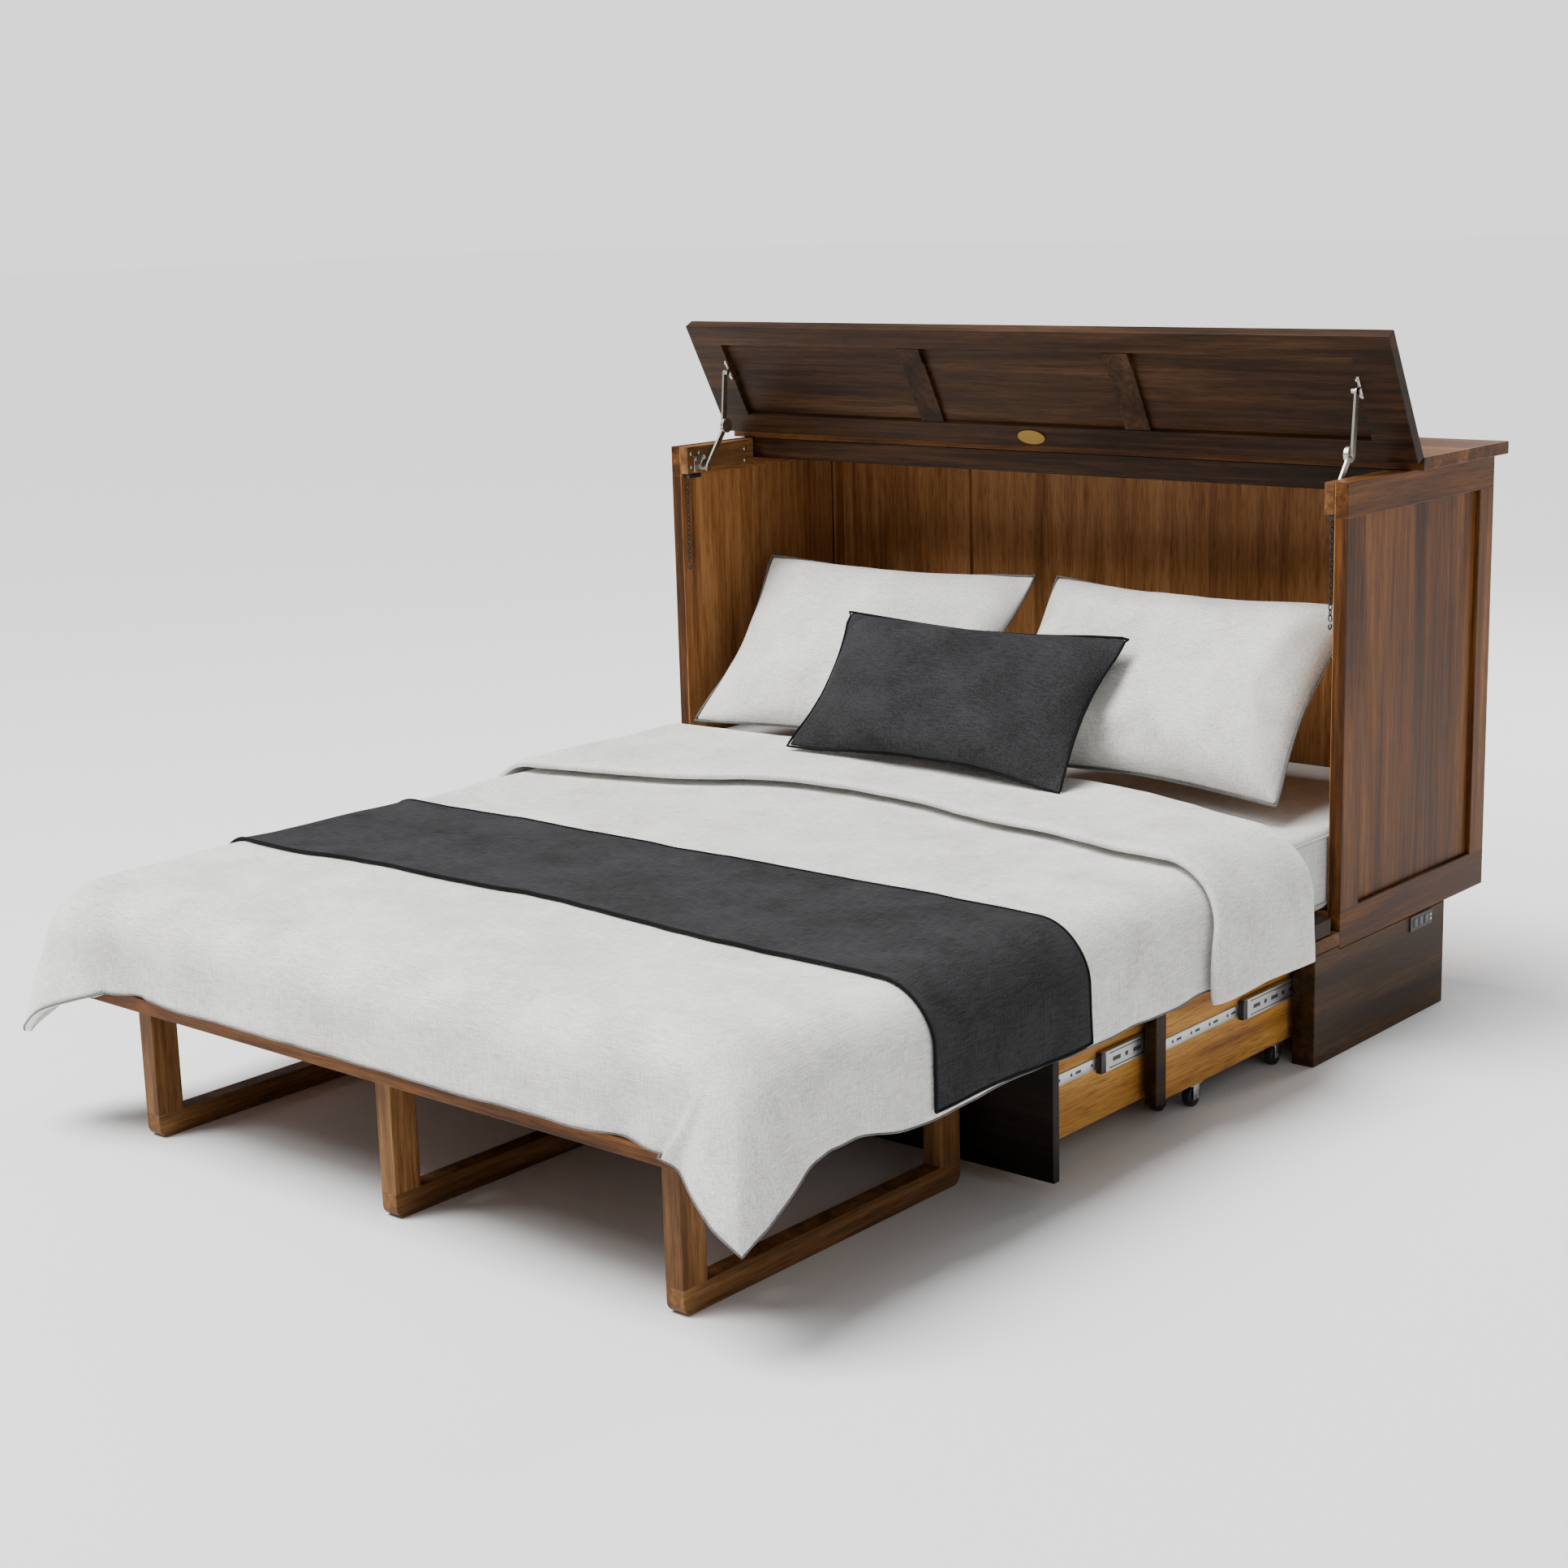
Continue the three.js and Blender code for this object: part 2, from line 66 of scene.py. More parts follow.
def make_camera():
    azimuth, elevation, roll = (math.radians(angle) for angle in CAMERA_ANGLES)
    back = Vector((
        math.sin(azimuth) * math.cos(elevation),
        -math.cos(azimuth) * math.cos(elevation),
        math.sin(elevation),
    ))
    level = Vector((math.cos(azimuth), math.sin(azimuth), 0))
    upright = back.cross(level)
    right = level * math.cos(roll) + upright * math.sin(roll)
    up = back.cross(right)
    data = bpy.data.cameras.new("camera")
    data.lens = CAMERA_LENS
    data.sensor_width = SENSOR_WIDTH
    camera = bpy.data.objects.new("camera", data)
    axes = Matrix((right, up, back)).transposed().to_4x4()
    camera.matrix_world = Matrix.Translation(CAMERA_PLACE) @ axes
    bpy.context.collection.objects.link(camera)
    bpy.context.scene.camera = camera


# ---- stage and lights ----
FLOOR_HALF = 60
FLOOR_COLOR = (0.86, 0.86, 0.86, 1)
WORLD_LIGHT = 0.3  # how strongly the world lights the bed
WORLD_SEEN = 1.6  # how bright the world itself looks
SUN_STRENGTH = 5.3
SUN_SPREAD = 35  # degrees, for soft shadows
SUN_HEADING = (1.6, 1.5, -6.0)


def area_light(name, place, target, size, watts):
    """A round light, size metres across, that faces its target."""
    data = bpy.data.lights.new(name, "AREA")
    data.shape = "DISK"
    data.size = size
    data.energy = watts
    light = bpy.data.objects.new(name, data)
    light.location = place
    light.rotation_euler = (Vector(target) - Vector(place)).to_track_quat("-Z", "Y").to_euler()
    bpy.context.collection.objects.link(light)


def make_floor():
    mesh = bpy.data.meshes.new("floor")
    corners = [(x * FLOOR_HALF, y * FLOOR_HALF, 0) for x, y in ((-1, -1), (1, -1), (1, 1), (-1, 1))]
    mesh.from_pydata(corners, [], [(0, 1, 2, 3)])
    floor = bpy.data.objects.new("floor", mesh)
    bpy.context.collection.objects.link(floor)
    material = bpy.data.materials.new("floor_paint")
    material.use_nodes = True
    shader = material.node_tree.nodes["Principled BSDF"]
    shader.inputs["Base Color"].default_value = FLOOR_COLOR
    shader.inputs["Roughness"].default_value = 0.8
    mesh.materials.append(material)


def make_world():
    world = bpy.data.worlds.new("studio")
    world.use_nodes = True
    background = world.node_tree.nodes["Background"]
    background.inputs["Color"].default_value = (1, 1, 1, 1)
    seen = world.node_tree.nodes.new("ShaderNodeLightPath").outputs["Is Camera Ray"]
    level = world.node_tree.nodes.new("ShaderNodeMapRange")
    level.inputs["To Min"].default_value = WORLD_LIGHT
    level.inputs["To Max"].default_value = WORLD_SEEN
    world.node_tree.links.new(seen, level.inputs["Value"])
    world.node_tree.links.new(level.outputs["Result"], background.inputs["Strength"])
    bpy.context.scene.world = world


def make_sun():
    sun = bpy.data.objects.new("sun", bpy.data.lights.new("sun", "SUN"))
    sun.data.energy = SUN_STRENGTH
    sun.data.angle = math.radians(SUN_SPREAD)
    sun.rotation_euler = Vector(SUN_HEADING).to_track_quat("-Z", "Y").to_euler()
    bpy.context.collection.objects.link(sun)


def make_stage():
    make_floor()
    make_world()
    area_light("key", (-2.2, -3.2, 4.2), (0, -0.3, 0.3), 2.4, 170)
    make_sun()
    area_light("fill", (4.4, -2.2, 2.2), (0.3, 0, 0.5), 3.0, 12)
    area_light("rear", (0.5, 4.2, 3.2), (0, 0.6, 0.8), 3.0, 110)


# ---- materials ----
def srgb(r, g, b):
    def linear(value):
        value /= 255
        return value / 12.92 if value <= 0.04045 else ((value + 0.055) / 1.055) ** 2.4
    return (linear(r), linear(g), linear(b), 1)


class Surface:
    """A principled material and short ways to add nodes to it."""

    def __init__(self, name, roughness=0.5, metallic=0.0):
        self.material = bpy.data.materials.new(name)
        self.material.use_nodes = True
        self.tree = self.material.node_tree
        self.shader = self.tree.nodes["Principled BSDF"]
        self.shader.inputs["Roughness"].default_value = roughness
        self.shader.inputs["Metallic"].default_value = metallic
        self.place = self.tree.nodes.new("ShaderNodeTexCoord").outputs["Object"]

    def node(self, kind, **values):
        node = self.tree.nodes.new(kind)
        for key, value in values.items():
            setattr(node, key, value)
        return node

    def link(self, source, target):
        self.tree.links.new(source, target)

    def math(self, operation, a, b):
        node = self.node("ShaderNodeMath", operation=operation)
        for socket, value in zip(node.inputs, (a, b)):
            if isinstance(value, (int, float)):
                socket.default_value = value
            else:
                self.link(value, socket)
        return node.outputs[0]

    def noise(self, scale, detail=3.0, distortion=0.0, seed=0.0, source=None):
        mapping = self.node("ShaderNodeMapping")
        mapping.inputs["Scale"].default_value = scale
        mapping.inputs["Location"].default_value = (seed * 3.1, seed * 1.7, seed * 2.3)
        self.link(source or self.place, mapping.inputs["Vector"])
        texture = self.node("ShaderNodeTexNoise")
        texture.inputs["Scale"].default_value = 1.0
        texture.inputs["Detail"].default_value = detail
        texture.inputs["Distortion"].default_value = distortion
        self.link(mapping.outputs[0], texture.inputs["Vector"])
        return texture.outputs["Fac"]

    def ramp(self, value, stops):
        node = self.node("ShaderNodeValToRGB")
        elements = node.color_ramp.elements
        for index, (position, color) in enumerate(stops):
            element = elements[index] if index < 2 else elements.new(position)
            element.position = position
            element.color = color
        self.link(value, node.inputs[0])
        return node.outputs[0]

    def roughen(self, value, low, high):
        node = self.node("ShaderNodeMapRange")
        self.link(value, node.inputs[0])
        node.inputs["To Min"].default_value = low
        node.inputs["To Max"].default_value = high
        self.link(node.outputs[0], self.shader.inputs["Roughness"])

    def bump(self, height, strength, distance):
        node = self.node("ShaderNodeBump")
        node.inputs["Strength"].default_value = strength
        node.inputs["Distance"].default_value = distance
        self.link(height, node.inputs["Height"])
        self.link(node.outputs[0], self.shader.inputs["Normal"])


def along(axis, lengthwise, crosswise):
    return tuple(lengthwise if index == axis else crosswise for index in range(3))


VECTOR_A, VECTOR_B, VECTOR_OUT = 4, 5, 1  # a mix node's vector sockets
COLOR_A, COLOR_B, COLOR_OUT = 6, 7, 2  # and its color sockets
TONE_STOPS = (0.3, 0.45, 0.56, 0.72)
PORE_SHADE = 0.55
PORE_STOPS = [(0.36, (0.35, 0.3, 0.27, 1)), (0.5, (1, 1, 1, 1))]
WOOD_TONES = {
    "outside": [(28, 14, 5), (72, 41, 16), (102, 62, 27), (140, 94, 48)],
    "lid": [(16, 8, 4), (38, 22, 11), (58, 37, 20), (86, 60, 36)],
    "inside": [(100, 61, 32), (152, 102, 58), (176, 124, 76), (196, 144, 94)],
    "frame": [(58, 34, 17), (102, 69, 39), (130, 92, 55), (158, 117, 74)],
    "drawer": [(128, 80, 30), (180, 124, 54), (202, 148, 72), (218, 166, 92)],
    "dark": [(18, 10, 5), (44, 27, 13), (62, 41, 21), (86, 61, 36)],
    # painted shade: this near-black tone goes on the drawer front, which stands in shadow
    "black": [(6, 3, 2), (16, 9, 6), (24, 15, 10), (38, 24, 16)],
}


def turn_rails(surface, axis, rails):
    """The place that a frame's grain is read at, with the two axes swapped on its rails."""
    across, low, high, other = rails
    split = surface.node("ShaderNodeSeparateXYZ")
    surface.link(surface.place, split.inputs[0])
    swapped = surface.node("ShaderNodeCombineXYZ")
    order = [X, Y, Z]
    order[axis], order[other] = order[other], order[axis]
    for index, source in enumerate(order):
        surface.link(split.outputs[source], swapped.inputs[index])
    above = surface.math("GREATER_THAN", split.outputs[across], high)
    below = surface.math("LESS_THAN", split.outputs[across], low)
    mix = surface.node("ShaderNodeMix", data_type="VECTOR")
    surface.link(surface.math("ADD", above, below), mix.inputs["Factor"])
    surface.link(surface.place, mix.inputs[VECTOR_A])
    surface.link(swapped.outputs[0], mix.inputs[VECTOR_B])
    return mix.outputs[VECTOR_OUT]


def tone_ramp(surface, value, tone):
    colors = [srgb(*color) for color in WOOD_TONES[tone]]
    return surface.ramp(value, list(zip(TONE_STOPS, colors)))


def second_tone(surface, blend, color, second):
    """The color, changed to another tone on one side of a limit."""
    tone, axis, limit = second
    other_color = tone_ramp(surface, blend, tone)
    split = surface.node("ShaderNodeSeparateXYZ")
    surface.link(surface.place, split.inputs[0])
    position = split.outputs[axis]
    if axis == X:
        position = surface.math("ABSOLUTE", position, 0)
    pick = surface.node("ShaderNodeMix", data_type="RGBA")
    surface.link(surface.math("LESS_THAN", position, limit), pick.inputs["Factor"])
    surface.link(color, pick.inputs[COLOR_A])
    surface.link(other_color, pick.inputs[COLOR_B])
    return pick.outputs[COLOR_OUT]


def wood(name, tone, axis, seed=0.0, rails=None, second=None):
    """Walnut with its grain along an axis. rails = (axis across which, low, high, grain there) turns
    the grain of a frame's rails, which lie outside low..high. second = (tone, axis, limit) gives the
    wood another tone below a limit along an axis, or nearer the centre line than that for X."""
    surface = Surface(name)
    place = turn_rails(surface, axis, rails) if rails else surface.place
    bands = surface.noise(along(axis, 0.9, 10), 5, 1.1, seed, place)
    streaks = surface.noise(along(axis, 3.5, 95), 4, 0.4, seed + 5, place)
    pores = surface.noise(along(axis, 22, 520), 2, 0, seed + 9, place)
    wide, fine = surface.math("MULTIPLY", bands, 0.62), surface.math("MULTIPLY", streaks, 0.38)
    blend = surface.math("ADD", wide, fine)
    color = tone_ramp(surface, blend, tone)
    if second:
        color = second_tone(surface, blend, color, second)
    shade = surface.node("ShaderNodeMix", data_type="RGBA", blend_type="MULTIPLY")
    shade.inputs["Factor"].default_value = PORE_SHADE
    surface.link(color, shade.inputs[COLOR_A])
    surface.link(surface.ramp(pores, PORE_STOPS), shade.inputs[COLOR_B])
    surface.link(shade.outputs[COLOR_OUT], surface.shader.inputs["Base Color"])
    surface.roughen(streaks, 0.34, 0.56)
    surface.bump(pores, 0.25, 0.0006)
    surface.shader.inputs["Specular IOR Level"].default_value = 0.12
    return surface.material


def metal(name, color, roughness, brushed):
    """Metal with fine brush lines along an axis."""
    surface = Surface(name, roughness, 1.0)
    lines = surface.noise(along(brushed, 30, 900), 3)
    tones = [tuple(c * k for c in srgb(*color)[:3]) + (1,) for k in (0.72, 1.0)]
    shine = surface.ramp(lines, [(0.3, tones[0]), (0.65, tones[1])])
    surface.link(shine, surface.shader.inputs["Base Color"])
    surface.roughen(lines, roughness - 0.08, roughness + 0.12)
    surface.bump(lines, 0.12, 0.0003)
    return surface.material


def plastic(name, color, roughness):
    """Plastic, rubber or paint with a fine speckle."""
    surface = Surface(name, roughness)
    grain = surface.noise((700, 700, 700), 2)
    light = tuple(min(1, c * 1.6 + 0.004) for c in srgb(*color)[:3]) + (1,)
    speckle = surface.ramp(grain, [(0.35, srgb(*color)), (0.7, light)])
    surface.link(speckle, surface.shader.inputs["Base Color"])
    surface.roughen(grain, roughness - 0.08, roughness + 0.1)
    surface.bump(grain, 0.2, 0.0003)
    return surface.material


def cloth_material(name, dark, light, coarse=1.0, sheen=0.2):
    """A plain weave with slubs: threads along all three axes, so that every face shows two of them."""
    surface = Surface(name, 0.9)
    threads = None
    for axis in range(3):
        layer = surface.noise(along(axis, 38 * coarse, 620 * coarse), 2, 0, axis * 4.0)
        threads = layer if threads is None else surface.math("ADD", threads, layer)
    threads = surface.math("DIVIDE", threads, 3.0)
    patches = surface.noise((9, 9, 9), 4, 0.3, 2.0)
    fine, wide = surface.math("MULTIPLY", threads, 0.8), surface.math("MULTIPLY", patches, 0.2)
    mixed = surface.math("ADD", fine, wide)
    color = surface.ramp(mixed, [(0.4, srgb(*dark)), (0.58, srgb(*light))])
    surface.link(color, surface.shader.inputs["Base Color"])
    surface.shader.inputs["Sheen Weight"].default_value = sheen
    surface.shader.inputs["Specular IOR Level"].default_value = 0.2
    surface.bump(threads, 0.35, 0.0016)
    return surface.material


# ---- mesh helpers ----
SHARP_ANGLE = 40  # degrees; edges sharper than this stay crisp


def add_box(bm, low, high, bevel=0.8):
    """A box between two corners in millimetres, with its edges eased by bevel."""
    made = bmesh.ops.create_cube(bm, size=1)["verts"]
    for vert in made:
        corner = [low[i] if vert.co[i] < 0 else high[i] for i in range(3)]
        vert.co = at(*corner)
    if bevel:
        edges = list({edge for vert in made for edge in vert.link_edges})
        bmesh.ops.bevel(bm, geom=edges, offset=bevel * MM, segments=2, affect="EDGES", profile=0.5)


def add_rod(bm, start, end, radius, sides=16, far_radius=None):
    """A round rod between two points in millimetres, tapered where far_radius is given."""
    a, b = at(*start), at(*end)
    turn = (b - a).to_track_quat("Z", "Y").to_matrix().to_4x4()
    place = Matrix.Translation((a + b) / 2) @ turn
    far = radius if far_radius is None else far_radius
    bmesh.ops.create_cone(bm, cap_ends=True, segments=sides, radius1=radius * MM, radius2=far * MM,
                          depth=(b - a).length, matrix=place)


def add_tube(bm, points, radius, closed=False, sides=8):
    """A round tube along points in metres; its radius is in millimetres."""
    count = len(points)
    rings = []
    side = None
    for i, point in enumerate(points):
        before = points[i - 1] if closed or i else point
        after = points[(i + 1) % count] if closed or i < count - 1 else point
        heading = (after - before).normalized()
        if side is None:
            side = heading.orthogonal().normalized()
        side = (side - heading * side.dot(heading)).normalized()
        other = heading.cross(side)
        ring = []
        for k in range(sides):
            angle = 2 * math.pi * k / sides
            outward = side * math.cos(angle) + other * math.sin(angle)
            ring.append(bm.verts.new(point + outward * radius * MM))
        rings.append(ring)
    spans = count if closed else count - 1
    for i in range(spans):
        near, far = rings[i], rings[(i + 1) % count]
        for k in range(sides):
            bm.faces.new((near[k], near[(k + 1) % sides], far[(k + 1) % sides], far[k]))
    if not closed:
        bm.faces.new(list(reversed(rings[0])))
        bm.faces.new(rings[-1])


def to_object(name, bm, material):
    """The bmesh as a smooth-shaded object in the scene."""
    bmesh.ops.recalc_face_normals(bm, faces=bm.faces)
    mesh = bpy.data.meshes.new(name)
    bm.to_mesh(mesh)
    bm.free()
    for polygon in mesh.polygons:
        polygon.use_smooth = True
    mesh.materials.append(material)
    piece = bpy.data.objects.new(name, mesh)
    bpy.context.collection.objects.link(piece)
    mesh.set_sharp_from_angle(angle=math.radians(SHARP_ANGLE))
    return piece


def sorted_corner(side, near, far, y0, y1, z0, z1):
    """A box's two corners, from near to far out on one side of the bed."""
    xs = sorted((side * near, side * far))
    return (xs[0], y0, z0), (xs[1], y1, z1)


def fitting(name, bm, material, body):
    """A small hard piece that moves with a body."""
    piece = to_object(name, bm, material)
    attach(piece, body)
    return piece


def apply_modifiers(piece):
    """Makes what the piece's modifiers show its own mesh."""
    bpy.context.view_layer.update()
    graph = bpy.context.evaluated_depsgraph_get()
    mesh = bpy.data.meshes.new_from_object(piece.evaluated_get(graph))
    piece.modifiers.clear()
    piece.data = mesh


# ---- wood and metal on the CAD nodes: places in metres ----
SIDE_RAILS = (Z, 0.268, 0.965, Y)  # a side frame's rails lie below and above these heights
LEG_RAILS = (Z, 0.041, 0.226, Y)
FRAME_INSIDE = ("inside", X, 0.768)
PANEL_INSIDE = ("inside", X, 0.775)
CARRIAGE_POST = ("dark", Y, 0.0332)  # the carriage's sides are dark posts in front of this
BOARDS = {
    "base_back": ("dark", X), "ledge": ("outside", X), "head_platform": ("inside", X),
    "back_board": ("inside", Z), "fixed_top": ("outside", X), "top_front_rail": ("lid", X),
    "lid_frame": ("lid", X), "lid_panel": ("lid", X), "front_panel": ("dark", X),
    # the drawer front's near-black tone is painted shade for the shadow it stands in
    "foot_panel": ("outside", X), "drawer_front": ("black", X), "drawer_back": ("drawer", X),
    "drawer_bottom": ("drawer", X), "carriage_rail": ("drawer", X),
}


def paint(node, material):
    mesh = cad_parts[node].data
    mesh.materials.clear()
    mesh.materials.append(material)


def paint_wood(node, tone, axis, seed, rails=None, second=None):
    paint(node, wood(node, tone, axis, seed, rails, second))


def paint_side(label, seed, finishes):
    """The pieces that the bed has on both sides."""
    paint_wood(f"side_frame_{label}", "outside", Z, seed + 0.3, SIDE_RAILS, FRAME_INSIDE)
    paint_wood(f"side_panel_{label}", "outside", Z, seed + 2.2, second=PANEL_INSIDE)
    paint_wood(f"base_side_{label}", "dark", Y, seed + 4.1)
    paint_wood(f"cleat_{label}", "frame", Y, seed + 3.7)
    paint_wood(f"drawer_side_{label}", "drawer", Y, seed + 6.4)
    paint_wood(f"carriage_side_{label}", "drawer", Y, seed + 8.4, second=CARRIAGE_POST)
    paint_wood(f"lid_batten_{label}", "lid", Y, seed + 1.4)
    for node in (f"stay_lower_{label}", f"stay_upper_{label}"):
        paint(node, finishes["nickel"])
    for node in (f"base_runner_{label}", f"box_runner_{label}"):
        paint(node, finishes["steel"])
    for spot in ("drawer", "carriage_front", "carriage_rear"):
        paint(f"wheel_{spot}_{label}", finishes["rubber"])


def paint_cad(finishes):
    for seed, (label, _) in enumerate(SIDES):
        paint_side(label, seed, finishes)
    for seed, label in enumerate(("left", "centre", "right")):
        paint_wood(f"leg_loop_{label}", "frame", Z, seed + 0.9, LEG_RAILS)
    for seed, (node, (tone, axis)) in enumerate(BOARDS.items()):
        paint_wood(node, tone, axis, seed * 1.3)
    paint("lid_hinge", finishes["brass"])
    paint("lid_badge", finishes["brass"])
    paint("power_outlet", finishes["plastic"])


# ---- bedding: a cover laid over the mattress ----
BEND = 85  # radius of the cover's rounded edge
QUARTER = BEND * math.pi / 2  # cloth that the bend takes up
FLAT_X = 722  # the cover is flat to here, then bends down
FLAT_FOOT = -2077  # the same at the foot
TOP = 434  # outer surface of the duvet on top
SPREAD = 105  # how far the hanging corner fans out along the bed's edges
SPREAD_LENGTH = 330  # the stretch of edge over which the cloth beside a corner gives way
CORNER_FREE = 290  # past this reach a corner's tip draws in
CORNER_DRAW = 0.4  # and it draws in by this share
CORNER_BIAS = {-1: 1.3, 1: 0.8}  # a corner's tip turns to the side above 1, to the foot below 1
FLARE = {-1: 50, 1: 24}  # how far each corner's tip stands out from the bed
CREASE_DEPTH = 13  # the two creases that run down beside each corner's tip
CREASE_PLACE = 0.74
CREASE_WIDTH = 0.2
TUCK = 13  # how far the foot's hem hangs back under the bend
HANG_LENGTH = 140  # hanging cloth of this length ripples and flares in full


def smooth_step(low, high, value):
    t = min(1, max(0, (value - low) / (high - low)))
    return t * t * (3 - 2 * t)


def wave(x, y, z, size):
    """Smooth noise between about -1 and 1 whose lumps are about size millimetres."""
    return noise.noise(Vector((x, y, z)) / size)


def drop_profile(reach):
    """Distance out from the bend's start, and fall below the top, after reach along the cloth."""
    if reach <= 0:
        return 0, 0
    if reach < QUARTER:
        angle = reach / BEND
        return BEND * math.sin(angle), BEND * (1 - math.cos(angle))
    return BEND, BEND + reach - QUARTER


def drape_start(u, v):
    """Where the cloth under a flat point leaves the flat top: that place, the direction it hangs in,
    its reach along the cloth, how much it belongs to a corner's tip, and where between a corner's
    two edges it is, from -1 at the side to 1 at the foot."""
    side = 1 if u > 0 else -1
    over_side = abs(u) - FLAT_X
    over_foot = FLAT_FOOT - v
    if over_side > 0 and over_foot > 0:
        reach = math.hypot(over_side, over_foot)
        reach -= CORNER_DRAW * max(0, reach - CORNER_FREE)
        share = math.atan2(over_foot, over_side) / (math.pi / 2)
        angle = share ** CORNER_BIAS[side] * math.pi / 2
        direction = (side * math.cos(angle), -math.sin(angle))
        return (side * FLAT_X, FLAT_FOOT), direction, reach, math.sin(2 * angle), 2 * share - 1
    if over_side > 0:
        slide = -smooth_step(-SPREAD_LENGTH, 0, over_foot)
        return (side * FLAT_X, v), (side, 0), over_side, 0, slide
    if over_foot > 0:
        slide = smooth_step(-SPREAD_LENGTH, 0, over_side)
        return (u, FLAT_FOOT), (0, -1), over_foot, 0, slide
    return (u, v), (0, 0), 0, 0, 0


def drape(u, v, lift=0.0):
    """Where a point of the flat cover lies. u runs across the bed and v towards the foot, both in
    millimetres along the cloth; lift moves the point out along the surface."""
    start, direction, reach, turn, slide = drape_start(u, v)
    side = 1 if u > 0 else -1
    over_foot = v < FLAT_FOOT
    in_corner = over_foot and abs(u) > FLAT_X
    spread = SPREAD * smooth_step(QUARTER * 0.5, QUARTER * 2.4, reach)
    start = (start[0] - side * max(0, slide) * spread, start[1] - min(0, slide) * spread)
    out, fall = drop_profile(reach)
    fall *= 1 - 0.11 * abs(slide) ** 1.5 * smooth_step(QUARTER, QUARTER * 2, reach)
    hang = max(0, reach - QUARTER * 0.6) / HANG_LENGTH
    ripple = wave(u * 0.9, v * 0.9, 40, 150) * 15 + wave(u, v, 90, 62) * 4
    flare = turn * FLARE[side] * min(hang, 1.6)
    crease = math.exp(-((abs(slide) - CREASE_PLACE) / CREASE_WIDTH) ** 2)
    flare -= CREASE_DEPTH * crease * min(hang, 1)
    tuck = -TUCK * min(hang, 1) if over_foot and not in_corner else 0
    out += min(hang, 1) * (ripple * (0.8 if in_corner else 0.55) + 4) + flare + tuck
    swell = wave(u, v, 10, 420) * 7 + wave(u, v * 1.6, 55, 170) * 3.2 + wave(u * 1.5, v, 31, 75) * 1.1
    edge = 1 - smooth_step(0, QUARTER, reach)
    height = TOP + (swell - 2) * (0.35 + 0.65 * edge) - fall
    tilt = min(1, reach / QUARTER)
    return at(
        start[0] + direction[0] * (out + lift * tilt),
        start[1] + direction[1] * (out + lift * tilt),
        height + lift * (1 - tilt),
    )


def grid_sheet(name, columns, rows, place, material):
    """A sheet with columns by rows points, each put where place(column share, row share) says."""
    verts = []
    for i in range(rows):
        for j in range(columns):
            verts.append(place(j / (columns - 1), i / (rows - 1)))
    faces = []
    for i in range(rows - 1):
        for j in range(columns - 1):
            a = i * columns + j
            faces.append((a, a + columns, a + columns + 1, a + 1))
    mesh = bpy.data.meshes.new(name)
    mesh.from_pydata(verts, [], faces)
    for polygon in mesh.polygons:
        polygon.use_smooth = True
    mesh.materials.append(material)
    piece = bpy.data.objects.new(name, mesh)
    bpy.context.collection.objects.link(piece)
    return piece


def thicken(piece, thickness):
    solidify = piece.modifiers.new("thickness", "SOLIDIFY")
    solidify.thickness = thickness * MM
    solidify.offset = -1
    solidify.use_even_offset = False
    apply_modifiers(piece)
    for polygon in piece.data.polygons:
        polygon.use_smooth = True


SIDE_REACH = 241  # cloth beyond the flat top on each side
FOOT_REACH = 214  # and beyond it at the foot
SPLIT = -1448  # the mattress's foot third folds here
BAND_FLAT_SHARE = 0.86  # the share of the turned-back band before its fold
BAND_LIFT = 13  # the band lies this far above the duvet's surface
FOLD_RADIUS = 9
DUVET_THICK, BAND_THICK = 14, 9
HEM_RADIUS = 1.5
HEM_STEPS = 120


def hem_half(v):
    """Half the duvet's width, which wavers along the hem."""
    return FLAT_X + SIDE_REACH + wave(v, 7, 3, 210) * 10 + wave(v, 70, 30, 60) * 2


def foot_hem(u):
    """Where the duvet ends at the foot."""
    corner = 24 * smooth_step(520, 760, abs(u))
    return FLAT_FOOT - FOOT_REACH - corner - wave(u, 3, 9, 240) * 5


def duvet_head(u):
    """The duvet's head edge, where it turns back."""
    right = -105 * smooth_step(250, 780, u)
    left = -12 * smooth_step(300, 800, -u)
    return -634 + right + left + wave(u, 50, 20, 260) * 6


def turndown_seam(u):
    """The turned-back band's edge on top of the duvet."""
    right = -120 * smooth_step(0, 760, u) - 30 * smooth_step(780, 950, u)
    left = -195 * smooth_step(0, 800, -u)
    return -892 + right + left + wave(u, 150, 80, 200) * 8


def place_duvet(head, foot):
    def place(across, down):
        middle = head(0) + (foot(0) - head(0)) * down
        u = (2 * across - 1) * hem_half(middle)
        v = head(u) + (foot(u) - head(u)) * down
        return drape(u, v)
    return place


def place_turndown(across, down):
    """The folded-back band: from its seam edge up to the head edge, then round the fold."""
    u = (2 * across - 1) * (FLAT_X + SIDE_REACH + BAND_LIFT + wave(across * 900, 8, 2, 160) * 8)
    seam, head = turndown_seam(u), duvet_head(u)
    if down <= BAND_FLAT_SHARE:
        v = seam + (head - seam) * down / BAND_FLAT_SHARE
        edge = smooth_step(0, 0.03, down)
        return drape(u, v, BAND_LIFT + 5 * edge)
    angle = (down - BAND_FLAT_SHARE) / (1 - BAND_FLAT_SHARE) * math.pi
    return drape(u, head + 15 * math.sin(angle), 2 * FOLD_RADIUS - FOLD_RADIUS * (1 - math.cos(angle)))


